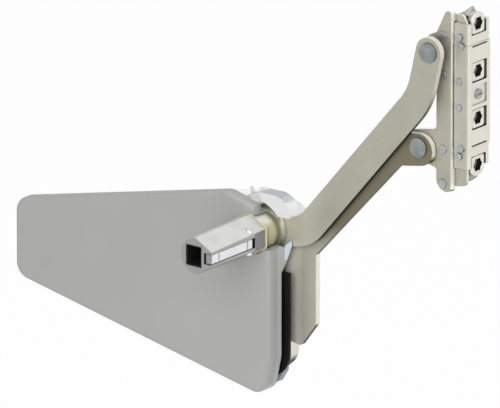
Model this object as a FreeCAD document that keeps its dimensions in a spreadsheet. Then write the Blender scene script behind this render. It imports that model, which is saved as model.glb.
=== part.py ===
import FreeCAD, Part
import math
import os
from FreeCAD import Placement, Rotation, Vector

# Lift-up flap fitting: a sprung side housing, two levers and a bracket that carries the flap
# The origin is on the lift axis at the cabinet side, +X to the flap, +Z up, -Y into the cabinet

doc = FreeCAD.newDocument("LiftUpFlapFitting")
sheet = doc.addObject("Spreadsheet::Sheet", "Sizes")
working = doc.addObject("Spreadsheet::Sheet", "Working")

driving = {
    # layers from the cabinet side inwards
    "base_sheet": 2.0,
    "spring_well": 21.5,
    "mid_sheet": 2.0,
    "washer_gap": 2.0,
    "lever_sheet": 4.0,
    "lever_gap": 1.0,
    "side_gap": 1.5,
    "side_sheet": 2.0,
    "cover_gap": 2.5,
    "cover_depth": 14.0,
    "cover_wall": 2.0,
    "cap_depth": 8.0,
    "skirt_drop": 5.5,
    # side view of the housing
    "housing_back": 197.0,
    "housing_front": 14.5,
    "plate_front": 18.8,
    "housing_tilt": 12.8,
    "floor_tilt": 11.7,
    "crest_x": -20.5,
    "crest_z": 25.6,
    "toe_x": 9.0,
    "toe_z": -110.0,
    "notch_radius": 13.2,
    "step_x": 2.0,
    "step_z": -8.5,
    # linkage
    "lift_x": 129.7,
    "lift_z": 144.9,
    "pivot_dx": 11.4,
    "pivot_dz": 67.8,
    "lever_width": 20.0,
    "tie_width": 18.0,
    "eye_radius": 11.0,
    "pin_radius": 4.0,
    "pivot_end": 3.5,
    "pin_head": 6.6,
    "pin_head_depth": 1.2,
    "open_play": 0.15,
    "running_play": 0.05,
    # lift shaft, cam and springs
    "shaft_radius": 8.0,
    "shoulder_radius": 11.0,
    "hub_radius": 12.5,
    "collar_radius": 14.5,
    "rim_sheet": 1.0,
    "collar_end": 58.0,
    "bush_wall": 2.0,
    "boss_length": 6.0,
    "flare_radius": 14.6,
    "neck_radius": 11.6,
    "guard_inner": 22.5,
    "guard_depth": 10.5,
    "cam_start": 22.0,
    "cam_rise": 5.0,
    "cam_sweep": 122.0,
    "cam_width": 8.0,
    "roller_radius": 6.0,
    "roller_play": 0.3,
    "roller_pin": 2.5,
    "spring_radius": 5.6,
    "spring_wire": 2.0,
    "spring_offset": 9.8,
    "pack_rise": -1.5,
    "spring_turns": 12.0,
    "carriage_start": 28.4,
    "carriage_length": 18.0,
    "spring_length": 98.6,
    "anchor_length": 12.0,
    "rod_radius": 3.2,
    "adjuster_radius": 3.0,
    # cross bar coupling
    "tube_length": 56.0,
    "tube_front": 12.4,
    "tube_rear": 14.0,
    "socket_width": 13.0,
    "socket_height": 14.4,
    "socket_shift": 2.2,
    "socket_depth": 44.0,
    "latch_height": 6.4,
    "latch_depth": 5.6,
    "latch_face": 12.6,
    "latch_play": 0.3,
    "latch_length": 43.0,
    "slot_length": 46.0,
    "liner_wall": 0.9,
    "latch_travel": 2.5,
    # flap bracket
    "bracket_back": 24.0,
    "link_sheet": 3.0,
    "carrier_sheet": 2.0,
    "rail_sheet": 2.0,
    "rail_face": 152.3,
    "rail_depth": 23.4,
    "rail_flange": 11.0,
    "rail_swell": 0.6,
    "hole_pitch": 32.0,
    "plug_row": 12.0,
    "window_width": 15.6,
    "window_height": 13.8,
    "plug_size": 11.8,
    "plug_sheet": 1.6,
    "socket_star": 3.9,
    "screw_recess": 1.3,
    "rail_middle": 115.2,
    "rail_length": 98.4,
    "link_length": 123.0,
    # fixings
    "mount_hole": 2.6,
    "mount_x": -106.0,
    "mount_z": -44.0,
    "mount_long": 128.0,
    "mount_high": 32.0,
    "rivet_radius": 2.0,
    "rivet_head": 3.0,
    "rail_rivet_head": 2.4,
    "spacer_radius": 4.5,
}

for row, (word, number) in enumerate(driving.items(), start=1):
    sheet.set(f"A{row}", word)
    sheet.set(f"B{row}", str(number))
    sheet.setAlias(f"B{row}", word)
doc.recompute()


def bound(formula):
    """A formula of the sheet's words as an expression that an object of the document can hold."""
    words = sorted(driving, key=len, reverse=True)
    out = formula
    for word in words:
        out = out.replace(word, "<" + str(words.index(word)) + ">")
    for index, word in enumerate(words):
        out = out.replace("<" + str(index) + ">", "Sizes." + word)
    return out


def size(formula):
    """Value of a formula whose words are aliases in the sheet."""
    working.set("A1", "=" + bound(formula))
    working.recompute()
    return float(working.get("A1"))


# depths of each layer behind the cabinet side, as formulas
AT_WELL = "base_sheet"
AT_MID = "base_sheet + spring_well"
AT_LOWER = AT_MID + " + mid_sheet + washer_gap"
AT_UPPER = AT_LOWER + " + lever_sheet + lever_gap"
AT_SIDE = AT_UPPER + " + lever_sheet + side_gap"
AT_RIM = AT_SIDE + " + side_sheet + cover_gap"
AT_FACE = AT_RIM + " + cover_depth"
AT_CAM = AT_WELL + " + spring_well / 2 - cam_width / 2"

lift_pin = (size("lift_x"), size("lift_z"))
lower_pivot = (-size("pivot_dx"), -size("pivot_dz"))
tie_pin = (size("lift_x - pivot_dx"), size("lift_z - pivot_dz"))
tilt = math.radians(size("housing_tilt"))
floor_slope = math.tan(math.radians(size("floor_tilt")))

nodes = []


def keep(item, label):
    """Name a finished sub-part and list it for writing."""
    item.Label = label
    nodes.append(item)
    return item


# Outlines in the side view


def rounded(corners):
    """Lines and arcs through (x, z, radius) corners, as one closed outline."""
    spots = []
    count = len(corners)
    for index, (x, z, radius) in enumerate(corners):
        here = Vector(x, z, 0)
        before = Vector(*corners[index - 1][:2], 0) - here
        after = Vector(*corners[(index + 1) % count][:2], 0) - here
        before.normalize()
        after.normalize()
        if radius <= 0:
            spots.append((here, None, here))
            continue
        half = before.getAngle(after) / 2
        run = radius / math.tan(half)
        middle = (before + after).normalize()
        centre = here + middle * (radius / math.sin(half))
        spots.append((here + before * run, centre - middle * radius, here + after * run))
    outline = []
    for index, (start, middle, end) in enumerate(spots):
        last = spots[index - 1][2]
        if last.distanceToPoint(start) > 1e-4:
            outline.append(Part.LineSegment(last, start))
        if middle is not None:
            outline.append(Part.Arc(start, middle, end))
    return outline


def circle(x, z, radius):
    return [Part.Circle(Vector(x, z, 0), Vector(0, 0, 1), radius)]


def oblong(left, right, low, high, radius):
    """Corners of an upright oblong, clockwise from the lower left."""
    return [(left, low, radius), (left, high, radius), (right, high, radius), (right, low, radius)]


def bar(path, width):
    """Corners of a bar of even width along (x, z, bend radius) points, with round ends."""
    half = width / 2
    left, right = [], []
    last = len(path) - 1
    for index, (x, z, bend) in enumerate(path):
        here = Vector(x, z, 0)
        ahead = Vector(*path[min(index + 1, last)][:2], 0) - Vector(*path[min(index, last - 1)][:2], 0)
        behind = Vector(*path[max(index, 1)][:2], 0) - Vector(*path[max(index - 1, 0)][:2], 0)
        ahead.normalize()
        behind.normalize()
        side_a = Vector(-ahead.y, ahead.x, 0)
        side_b = Vector(-behind.y, behind.x, 0)
        if index in (0, last):
            way = -1 if index == 0 else 1
            end = here + ahead * (half * way)
            left.append((end.x + side_a.x * half, end.y + side_a.y * half, half * 0.999))
            right.append((end.x - side_a.x * half, end.y - side_a.y * half, half * 0.999))
            continue
        mean = (side_a + side_b).normalize()
        reach = half / mean.dot(side_a)
        turn = behind.x * ahead.y - behind.y * ahead.x
        inner = bend - half
        outer = bend + half
        left.append((here.x + mean.x * reach, here.y + mean.y * reach, inner if turn > 0 else outer))
        right.append((here.x - mean.x * reach, here.y - mean.y * reach, outer if turn > 0 else inner))
    return left + right[::-1]


def inset(corners, wall):
    """The same corners moved inwards by a wall; the outline runs clockwise."""
    out = []
    count = len(corners)
    for index, (x, z, radius) in enumerate(corners):
        here = Vector(x, z, 0)
        ahead = Vector(*corners[(index + 1) % count][:2], 0) - here
        behind = here - Vector(*corners[index - 1][:2], 0)
        ahead.normalize()
        behind.normalize()
        side_a = Vector(ahead.y, -ahead.x, 0)
        side_b = Vector(behind.y, -behind.x, 0)
        mean = (side_a + side_b).normalize()
        reach = wall / mean.dot(side_a)
        out.append((here.x + mean.x * reach, here.y + mean.y * reach, max(radius - wall, 0.6)))
    return out


# Solids


def plane_of(body, role):
    return next(item for item in body.Origin.OriginFeatures if item.Role == role)


def sketch_on(body, name, role, away, loops):
    """A sketch on one of the body's own planes, moved along its normal by a formula."""
    sketch = body.newObject("Sketcher::SketchObject", name)
    sketch.AttachmentSupport = [(plane_of(body, role), "")]
    sketch.MapMode = "FlatFace"
    sketch.setExpression("AttachmentOffset.Base.z", bound(away))
    for loop in loops:
        for piece in loop:
            sketch.addGeometry(piece, False)
    return sketch


def padded(name, away, thick, loops, role="XZ_Plane"):
    """A body of one pad; in the side view the pad grows from the cabinet side inwards."""
    body = doc.addObject("PartDesign::Body", name)
    add_pad(body, name + "_outline", away, thick, loops, role)
    return body


def add_pad(body, name, away, thick, loops, role="XZ_Plane"):
    sketch = sketch_on(body, name, role, away, loops)
    pad = body.newObject("PartDesign::Pad", name + "_pad")
    pad.Profile = sketch
    pad.setExpression("Length", bound(thick))
    doc.recompute()
    return pad


def add_pocket(body, name, away, deep, loops, role="XZ_Plane", ahead=False):
    """Cut from a plane by a depth; ahead cuts along the plane's normal."""
    before = body.Shape.Volume
    sketch = sketch_on(body, name, role, away, loops)
    pocket = body.newObject("PartDesign::Pocket", name + "_pocket")
    pocket.Profile = sketch
    pocket.Reversed = ahead
    pocket.setExpression("Length", bound(deep))
    doc.recompute()
    if body.Shape.Volume >= before - 1e-6:
        raise ValueError(f"{name} cuts nothing")
    return pocket


def rod(name, radius, away, length, spot, bore=None):
    """A cylinder or ring along the lift axis, from a depth inwards."""
    parts = []
    for suffix, formula in (("", radius), ("_bore", bore)):
        if formula is None:
            continue
        item = doc.addObject("Part::Cylinder", name + suffix)
        item.setExpression("Radius", bound(formula))
        item.setExpression("Height", bound(length))
        item.Placement = Placement(Vector(spot[0], -size(away), spot[1]), Rotation(Vector(1, 0, 0), 90))
        parts.append(item)
    if len(parts) == 1:
        return parts[0]
    return cut(name + "_ring", parts[0], parts[1])


def cut(name, base, tool):
    item = doc.addObject("Part::Cut", name)
    item.Base = base
    item.Tool = tool
    doc.recompute()
    return item


def fuse(name, pieces):
    item = doc.addObject("Part::MultiFuse", name)
    item.Shapes = pieces
    item.Refine = True
    doc.recompute()
    return item


def group(name, pieces):
    item = doc.addObject("Part::Compound", name)
    item.Links = pieces
    doc.recompute()
    return item


# Housing outlines


def cover_corners():
    """Side view of the cover, clockwise from the upper rear corner."""
    back = -size("housing_back")
    front = size("housing_front")
    crest = (size("crest_x"), size("crest_z"))
    toe = (size("toe_x"), size("toe_z"))
    return [
        (back, crest[1] + (back - crest[0]) * math.tan(tilt), 11),
        (crest[0], crest[1], 12),
        (front, crest[1] - 0.29 * (front - crest[0]), 4),
        (front, -84, 12),
        (toe[0], toe[1], 9),
        (back, toe[1] + (toe[0] - back) * floor_slope, 11),
    ]


def tray_corners():
    """Side view of the steel tray, clockwise, with the mounting lug at the lower front."""
    back = -size("housing_back") + 9
    crest = (-31, 11)
    return [
        (back, crest[1] + (back - crest[0]) * math.tan(tilt), 8),
        (crest[0], crest[1], 6),
        (-21, 0, 4),
        (-4, -14, 4),
        (-4, -100, 15),
        (-27, -120.5, 3),
        (-46, size("toe_z") + 55 * floor_slope, 6),
        (back, size("toe_z") + (9 - back) * floor_slope, 8),
    ]


def lowered(corners):
    """The same outline with its upper edge brought down behind the cap."""
    drop = size("skirt_drop")
    out = list(corners)
    for index in range(3):
        x, z, radius = corners[index]
        out[index] = (x + (2.5 if index == 0 else 0), z - drop, radius)
    return out


mount_spots = [
    (size("mount_x") + side * size("mount_long / 2"), size("mount_z") + up * size("mount_high / 2"))
    for side in (-1, 1) for up in (1, -1)
]
peg_spots = [(-40, 8), (-110, -12), (-180, -33), (-180, -58), (-90, -80), (-30, -92), (4, -60)]
spacer_spots = [(-72, 2), (-164, -24), (-164, -62), (-118, -70), (-70, -84)]


def along(run, rise):
    """A point in the side view, by its run back along the spring axis and its rise above it."""
    return (-run * math.cos(tilt) - rise * math.sin(tilt), -run * math.sin(tilt) + rise * math.cos(tilt))


def base_tray():
    corners = tray_corners()
    body = padded("BaseTray", "0", AT_MID, [rounded(corners)])
    add_pocket(body, "Well", AT_WELL, "spring_well", [rounded(inset(corners, size("base_sheet")))], ahead=True)
    gap = [(-27, 12, 0), (2, 12, 0), (2, -50, 0), (-27, -50, 0)]
    add_pocket(body, "CamGap", AT_WELL, "spring_well", [rounded(gap)], ahead=True)
    holes = [circle(x, z, size("mount_hole")) for x, z in mount_spots]
    add_pocket(body, "MountHoles", "0", "base_sheet", holes, ahead=True)
    return keep(body, "base_tray")


def base_foot():
    """Cast foot round the outside of the tray's lower front corner."""
    outline = [(-25.5, -122, 1), (-25.5, -112, 0), (-12.5, -106, 0), (-12.5, -110.5, 1), (-17.5, -118.5, 2)]
    room = padded("FootRoom", "0", AT_MID, [rounded(tray_corners())])
    blank = padded("FootBlank", "0", "6", [rounded(outline)])
    return keep(cut("BaseFoot", blank, room), "base_foot")


def mid_plate():
    body = padded("MidPlate", AT_MID, "mid_sheet", [rounded(tray_corners())])
    add_pad(body, "HubEar", AT_MID, "mid_sheet", [circle(0, 0, size("collar_radius"))])
    boss = circle(0, 0, size("shoulder_radius + 1.5"))
    add_pad(body, "HubBoss", AT_MID + " - boss_length", "boss_length + 0.5", [boss])
    holes = [circle(0, 0, size("shaft_radius + bush_wall"))]
    holes.append(circle(*lower_pivot, size("pivot_end")))
    holes += [circle(x, z, size("rivet_radius")) for x, z in spacer_spots]
    add_pocket(body, "PlateHoles", AT_MID + " - boss_length", "mid_sheet + boss_length", holes, ahead=True)
    return keep(body, "mid_plate")


def side_plate():
    corners = inset(lowered(cover_corners()), 0.5)
    edge = size("plate_front")
    inner = size("housing_front - 0.9")
    corners[2:5] = [(inner, corners[2][1], 2), (inner, -27.3, 0), (edge, -27.3, 0), (edge, -101.5, 19), (-29, -101.2, 6)]
    body = padded("SidePlate", AT_SIDE, "side_sheet", [rounded(corners)])
    room = size("guard_inner")
    add_pocket(body, "HubRoom", AT_SIDE, "side_sheet", [circle(0, 0, room)], ahead=True)
    add_pad(body, "GuardHorn", AT_SIDE, "side_sheet", [sector(room, room + 5, 39, 102)])
    add_pad(body, "HornRoot", AT_SIDE, "side_sheet", [sector(room, room + 2.5, 98, 142)])
    holes = [circle(x, z, size("rivet_radius")) for x, z in spacer_spots]
    add_pocket(body, "SideHoles", AT_SIDE, "side_sheet", holes, ahead=True)
    return keep(body, "side_plate")


def cover():
    """Moulded shell with a round notch for the collar, ribs inside and clip pegs to the plate."""
    corners = cover_corners()
    low = lowered(corners)
    block = padded("CoverBlock", AT_FACE + " - cap_depth", "cap_depth", [rounded(corners)])
    front = [
        edge_name(block, edge)
        for edge in block.Shape.Edges
        if all(abs(v.Point.y + size(AT_FACE)) < 1e-3 for v in edge.Vertexes)
    ]
    pad = block.Tip
    fillet = block.newObject("PartDesign::Fillet", "CoverEdge")
    fillet.Base = (pad, front)
    fillet.Radius = 3.0
    doc.recompute()
    wall = size("cover_wall")
    skirt = padded("CoverSkirt", AT_RIM, "cover_depth - cap_depth + 0.5", [rounded(low)])
    level = size("step_z")
    cheek = [(-43, level, 0), (-37.2, level - 3, 0), (-37.2, -21, 0), (-42.5, -27, 0), (-43, -27, 0)]
    cheek_pad = padded("CoverCheek", "housing_front - 0.6", "0.6", [rounded(cheek)], "YZ_Plane")
    whole = fuse("CoverWhole", [block, skirt, cheek_pad])
    cavity = padded("CoverCavity", AT_RIM, "cover_depth - cover_wall", [rounded(inset(low, wall))])
    rim = rod("NotchWall", "notch_radius + cover_wall", AT_RIM, "cover_depth", (0, 0))
    step = oblong(size("step_x"), 40, level, 40, 0)
    lip = oblong(size("step_x") - wall, 40, level - wall, 40, 0)
    step_wall = padded("StepWall", AT_RIM, "cover_depth", [rounded(lip)])
    hollow = cut("CoverHollow", cavity, fuse("NotchWalls", [rim, step_wall]))
    shell = cut("CoverShell", whole, hollow)
    notch = rod("NotchCut", "notch_radius", AT_RIM + " - 1", "cover_depth + 1", (0, 0))
    step_cut = padded("StepCut", AT_RIM, "cover_depth", [rounded(step)])
    open_shell = cut("CoverOpen", shell, fuse("NotchCuts", [notch, step_cut]))
    ribs = []
    for index, run in enumerate((60, 100, 140)):
        x = -run
        top = size("crest_z - skirt_drop") + (x - size("crest_x")) * math.tan(tilt) - 1
        low = size("toe_z") + (size("toe_x") - x) * floor_slope + 1
        outline = [(x - 0.8, low, 0), (x - 0.8, top, 0), (x + 0.8, top, 0), (x + 0.8, low, 0)]
        ribs.append(padded(f"CoverRib{index}", AT_FACE + " - cover_wall - 5", "5.5", [rounded(outline)]))
    pegs = []
    for index, (x, z) in enumerate(peg_spots):
        pegs.append(rod(f"CoverPeg{index}", "3", AT_SIDE + " + side_sheet", "cover_gap + cover_depth - 1", (x, z)))
    return keep(fuse("Cover", [open_shell] + ribs + pegs), "cover")


def edge_name(body, edge):
    for index, other in enumerate(body.Shape.Edges, start=1):
        if other.isSame(edge):
            return f"Edge{index}"
    raise ValueError("edge not found")


def spacers():
    """Riveted sleeves that hold the side plate off the tray, clear of the levers."""
    sleeves = []
    length = "washer_gap + lever_sheet + lever_gap + lever_sheet + side_gap"
    for index, spot in enumerate(spacer_spots):
        sleeve = rod(f"Sleeve{index}", "spacer_radius", AT_MID + " + mid_sheet", length, spot)
        core = rod(f"Core{index}", "rivet_radius", AT_MID, length + " + mid_sheet + side_sheet", spot)
        head = rod(f"SleeveHead{index}", "rivet_head", AT_SIDE + " + side_sheet", "1", spot)
        sleeves.append(fuse(f"Spacer{index}", [sleeve, core, head]))
    return keep(group("Spacers", sleeves), "spacer_rivets")


def sector(inner, outer, low, high):
    """A ring sector about the lift axis between two angles in degrees, as one closed outline."""
    start, stop = math.radians(low), math.radians(high)
    middle = (start + stop) / 2
    far = [Vector(outer * math.cos(a), outer * math.sin(a), 0) for a in (start, middle, stop)]
    near = [Vector(inner * math.cos(a), inner * math.sin(a), 0) for a in (stop, middle, start)]
    return [Part.Arc(*far), Part.LineSegment(far[2], near[0]), Part.Arc(*near), Part.LineSegment(near[2], far[0])]


def hub_guard():
    """Light moulded shroud over the hub: a domed block with a round inner side and a thin tab."""
    seat = AT_SIDE + " + side_sheet"
    dome = [(3, 18, 0), (3, 28.1, 1), (17, 28.4, 12), (27.6, 22.6, 9), (27.6, 14.3, 2.5), (18.5, 14.3, 0)]
    ledge = [(-9, 17, 0), (-9, 23, 1), (0, 26.8, 4), (4, 27.2, 0), (4, 18, 0)]
    body = padded("HubGuard", seat, "guard_depth", [rounded(dome)])
    add_pad(body, "GuardLedge", seat, "guard_depth - 3", [rounded(ledge)])
    tab = [(-7.6, 22, 0), (-8.9, 28.4, 0.3), (-7.7, 28.4, 0.3), (-6.2, 23, 0)]
    add_pad(body, "GuardTab", seat + " + 4", "1.6", [rounded(tab)])
    add_pocket(body, "GuardRoom", seat, "guard_depth", [circle(0, 0, size("guard_inner"))], ahead=True)
    return keep(body, "hub_guard")


def bushes():
    bore = "shaft_radius + running_play"
    length = "mid_sheet + boss_length"
    keep(rod("HubBush", "shaft_radius + bush_wall", AT_MID + " - boss_length", length, (0, 0), bore), "hub_bush")


def hub_clip():
    """Light clip between the cover's cheek and the lever, just under the hub."""
    edge = size("housing_front")
    outline = [(edge, -19.5, 0), (edge, -9, 0), (edge + 4.6, -5.4, 0.3), (edge + 4.6, -9, 0.3), (edge + 0.6, -19.5, 0)]
    return keep(padded("HubClip", AT_SIDE + " - 0.7", "side_sheet", [rounded(outline)]), "hub_clip")


def lower_pivot_pin():
    """Shouldered rivet in the plate, with a thin head in the gap between the levers."""
    shank = rod("LowerShank", "pin_radius + 1", AT_MID + " + mid_sheet", "washer_gap + lever_sheet", lower_pivot)
    head = rod("LowerHead", "pin_radius + 4", AT_LOWER + " + lever_sheet", "0.7", lower_pivot)
    end = rod("LowerEnd", "pivot_end", AT_MID + " - 1", "mid_sheet + 1.2", lower_pivot)
    tail = rod("LowerTail", "pivot_end + 1.6", AT_MID + " - 1.2", "1.2", lower_pivot)
    keep(fuse("LowerPivotPin", [shank, head, end, tail]), "lower_pivot_pin")
    bore = "pin_radius + 1 + running_play"
    keep(rod("LowerWasher", "pin_radius + 5", AT_MID + " + mid_sheet", "washer_gap", lower_pivot, bore), "lower_washer")


# Levers


def upper_lever():
    """Dog-legged main lever of even width, with a round hub."""
    width = size("lever_width")
    knee = (28.5, 1.5, 22)
    elbow = (lift_pin[0] - 7.7, lift_pin[1] - 32.9, 45)
    path = [(0, 0, 0), knee, elbow, (lift_pin[0], lift_pin[1], 0)]
    body = padded("UpperLever", AT_UPPER, "lever_sheet", [rounded(bar(path, width))])
    add_pad(body, "LeverHub", AT_UPPER, "lever_sheet", [circle(0, 0, size("hub_radius"))])
    holes = [circle(0, 0, size("shaft_radius")), circle(*lift_pin, size("pin_radius + running_play"))]
    add_pocket(body, "LeverHoles", AT_UPPER, "lever_sheet", holes, ahead=True)
    return keep(body, "upper_lever")


def lower_lever():
    """Angled second lever: a wide foot on the lower pivot and a bar up to the tie pin."""
    foot = 12
    heel_x, heel_z = 34.3, -13.3
    slope = math.atan2(61.6 - heel_z, 103 - heel_x)
    width = size("tie_width")
    inner = (heel_x - width * math.sin(slope), heel_z + width * math.cos(slope))
    eye = size("eye_radius")
    neck = tie_pin[1] + 7
    shoulder = (inner[0] + (neck - inner[1]) / math.tan(slope), neck)
    corners = [
        (lower_pivot[0] - foot, lower_pivot[1] + 4, foot),
        (inner[0] - 4.7, inner[1] - 5.2, 10),
        (shoulder[0], shoulder[1], 8),
        (tie_pin[0] + eye, tie_pin[1] + eye - 0.4, eye - 0.5),
        (tie_pin[0] + eye, tie_pin[1] - eye + 0.4, eye - 0.5),
        (tie_pin[0] - 15.3, tie_pin[1] - 15.5, 3),
        (heel_x, heel_z, 2),
        (heel_x, -61.5, 2),
        (22, -78.2, 2),
        (12, -76.6, 3),
        (lower_pivot[0] - foot, lower_pivot[1] - foot, foot - 1.2),
    ]
    body = padded("LowerLever", AT_LOWER, "lever_sheet", [rounded(corners)])
    holes = [circle(*lower_pivot, size("pin_radius + 1 + running_play"))]
    holes.append(circle(*tie_pin, size("pin_radius + open_play")))
    add_pocket(body, "TieHoles", AT_LOWER, "lever_sheet", holes, ahead=True)
    return keep(body, "lower_lever")


def lift_shaft():
    """Turned shaft through tray, lever and side plate, with the wide collar in the notch."""
    reach = f"{AT_UPPER} + lever_sheet - ({AT_CAM} - 1)"
    journal = rod("Journal", "shaft_radius", AT_CAM + " - 1", reach, (0, 0))
    wide = "washer_gap + lever_sheet + lever_gap - 0.3"
    shoulder = rod("Shoulder", "shoulder_radius", AT_MID + " + mid_sheet + 0.3", wide, (0, 0))
    return keep(fuse("LiftShaft", [journal, shoulder]), "lift_shaft")


def lever_neck():
    """Round neck from the lever's face, with a thin rim in the coupling's outline at its end."""
    start = size(AT_UPPER + " + lever_sheet")
    end = size("collar_end")
    flare = size("flare_radius")
    waist = size("neck_radius")
    side = -start - 0.3
    bend = flare - waist
    turned = Vector(flare - bend * math.sin(math.pi / 4), side - bend * (1 - math.cos(math.pi / 4)), 0)
    body = doc.addObject("PartDesign::Body", "LeverNeck")
    corners = [(0, -start), (flare, -start), (flare, side), (waist, side - bend)]
    corners += [(waist + 0.9, -end + 3), (waist + 0.9, -end), (0, -end)]
    spots = [Vector(x, y, 0) for x, y in corners]
    profile = []
    for index, (first, last) in enumerate(zip(spots, spots[1:] + spots[:1])):
        profile.append(Part.Arc(first, turned, last) if index == 2 else Part.LineSegment(first, last))
    sketch = sketch_on(body, "NeckProfile", "XY_Plane", "0", [profile])
    turn = body.newObject("PartDesign::Revolution", "NeckTurn")
    turn.Profile = sketch
    turn.ReferenceAxis = (plane_of(body, "Y_Axis"), [""])
    turn.Angle = 360
    doc.recompute()
    radius = size("tube_rear") + 0.8
    side = size("latch_face") + 1.0
    top, left, base = Vector(0, radius, 0), Vector(-radius, 0, 0), Vector(0, -radius, 0)
    over, under = Vector(side, 7.8, 0), Vector(side, -6.6, 0)
    rim = [Part.Arc(top, left, base), Part.LineSegment(base, under)]
    rim += [Part.LineSegment(under, over), Part.LineSegment(over, top)]
    add_pad(body, "NeckRim", "collar_end - rim_sheet", "rim_sheet", [rim])
    return keep(body, "lever_neck")


def cam_corners():
    """Spiral flank that moves the roller evenly with the lever's turn, closed round the shaft."""
    start = size("cam_start")
    rise = size("cam_rise")
    reach = size("roller_radius + roller_play")
    sweep = math.radians(size("cam_sweep"))
    flank = []
    steps = 16
    for index in range(steps + 1):
        turn = -0.12 + (sweep + 0.18) * index / steps
        angle = math.pi + tilt + turn
        radius = start + rise * turn
        along_x = rise * math.cos(angle) - radius * math.sin(angle)
        along_z = rise * math.sin(angle) + radius * math.cos(angle)
        scale = reach / math.hypot(along_x, along_z)
        x = radius * math.cos(angle) - along_z * scale
        flank.append(Vector(x, radius * math.sin(angle) + along_x * scale, 0))
    return flank


def lift_cam():
    flank = cam_corners()
    curve = Part.BSplineCurve()
    curve.interpolate(flank)
    core = size("shoulder_radius")
    last = math.atan2(flank[-1].y, flank[-1].x) + 0.35
    first = math.atan2(flank[0].y, flank[0].x) - 0.35
    if first < last:
        first += 2 * math.pi
    spots = [last, (first + last) / 2, first]
    back = [Vector(core * math.cos(angle), core * math.sin(angle), 0) for angle in spots]
    loop = [curve, Part.LineSegment(flank[-1], back[0]), Part.Arc(*back), Part.LineSegment(back[2], flank[0])]
    body = padded("LiftCam", AT_CAM, "cam_width", [loop])
    add_pocket(body, "CamBore", AT_CAM, "cam_width", [circle(0, 0, size("shaft_radius"))], ahead=True)
    return keep(body, "lift_cam")


# Spring pack, along the tilted axis behind the hub


def tilted(run, rise, radius=0.0):
    x, z = along(run, rise)
    return (x, z, radius)


def block(run, length, high, low, radius=1.0):
    return [
        tilted(run + length, low, radius),
        tilted(run + length, high, radius),
        tilted(run, high, radius),
        tilted(run, low, radius),
    ]


def spring_rod(name, radius, run, length, rise):
    """A cylinder along the spring axis at the middle of the well."""
    x, z = along(run, rise)
    item = doc.addObject("Part::Cylinder", name)
    item.setExpression("Radius", bound(radius))
    item.setExpression("Height", bound(length))
    way = Vector(-math.cos(tilt), 0, -math.sin(tilt))
    item.Placement = Placement(Vector(x, -size(AT_WELL + " + spring_well / 2"), z), Rotation(Vector(0, 0, 1), way))
    return item


anchor_run = size("carriage_start + carriage_length + spring_length")


def carriage():
    """Sliding block that the springs push; its fork holds the roller against the cam."""
    start = size("carriage_start")
    length = size("carriage_length")
    body = padded("Carriage", AT_WELL + " + 2", "spring_well - 4", [rounded(block(start, length, 11.5, -18))])
    cheek = block(start - 10.4, 12, 4.5, -4.5, 3)
    add_pad(body, "NearCheek", AT_WELL + " + 2", "spring_well / 2 - 2 - 4.3", [rounded(cheek)])
    add_pad(body, "FarCheek", AT_WELL + " + spring_well / 2 + 4.3", "spring_well / 2 - 2 - 4.3", [rounded(cheek)])
    pin = [circle(*along(size("cam_start"), 0), size("roller_pin"))]
    add_pocket(body, "PinHole", AT_WELL, "spring_well", pin, ahead=True)
    holes = []
    for index, rise in enumerate(spring_rises):
        holes.append(spring_rod(f"CarriageBore{index}", "rod_radius + 0.3", start - 2, "carriage_length + 4", rise))
    return keep(cut("CarriageBlock", body, group("CarriageBores", holes)), "spring_carriage")


spring_rises = [size("pack_rise + spring_offset"), size("pack_rise - spring_offset")]


def roller():
    spot = along(size("cam_start"), 0)
    middle = AT_WELL + " + spring_well / 2"
    keep(rod("Roller", "roller_radius", middle + " - 4", "8", spot, "roller_pin + running_play"), "cam_roller")
    keep(rod("RollerPin", "roller_pin", AT_WELL + " + 2", "spring_well - 4", spot), "roller_pin")


def springs():
    """Two pressure springs side by side between the carriage and the anchor."""
    start = size("carriage_start + carriage_length")
    for name, rise in zip(("upper", "lower"), spring_rises):
        body = doc.addObject("PartDesign::Body", name.capitalize() + "Spring")
        wire = circle(size("spring_radius"), size("spring_wire / 2"), size("spring_wire / 2"))
        sketch = sketch_on(body, name + "_wire", "XZ_Plane", "0", [wire])
        coil = body.newObject("PartDesign::AdditiveHelix", name + "_coil")
        coil.Profile = sketch
        coil.ReferenceAxis = (sketch, ["V_Axis"])
        coil.Mode = 2
        coil.setExpression("Height", bound("spring_length - spring_wire"))
        coil.setExpression("Turns", bound("spring_turns"))
        doc.recompute()
        x, z = along(start, rise)
        way = Vector(-math.cos(tilt), 0, -math.sin(tilt))
        turned = Rotation(Vector(0, 0, 1), way)
        body.Placement = Placement(Vector(x, -size(AT_WELL + " + spring_well / 2"), z), turned)
        keep(body, name + "_spring")


def anchor():
    """Rear block with the two guide rods and the tension screw."""
    length = size("anchor_length")
    body = padded("Anchor", AT_WELL, "spring_well", [rounded(block(anchor_run, length, 13.5, -18))])
    middle = size("pack_rise")
    bores = [spring_rod("AnchorBore", "adjuster_radius", anchor_run - 1, "anchor_length + 2", middle)]
    for index, rise in enumerate(spring_rises):
        bores.append(spring_rod(f"RodSeat{index}", "rod_radius", anchor_run - 1, "anchor_length + 2", rise))
    keep(cut("AnchorBlock", body, group("AnchorBores", bores)), "spring_anchor")
    rods = []
    for index, rise in enumerate(spring_rises):
        begin = size("carriage_start + carriage_length") - 8
        rods.append(spring_rod(f"GuideRod{index}", "rod_radius", begin, "spring_length + anchor_length + 8", rise))
    keep(group("GuideRods", rods), "guide_rods")


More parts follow.
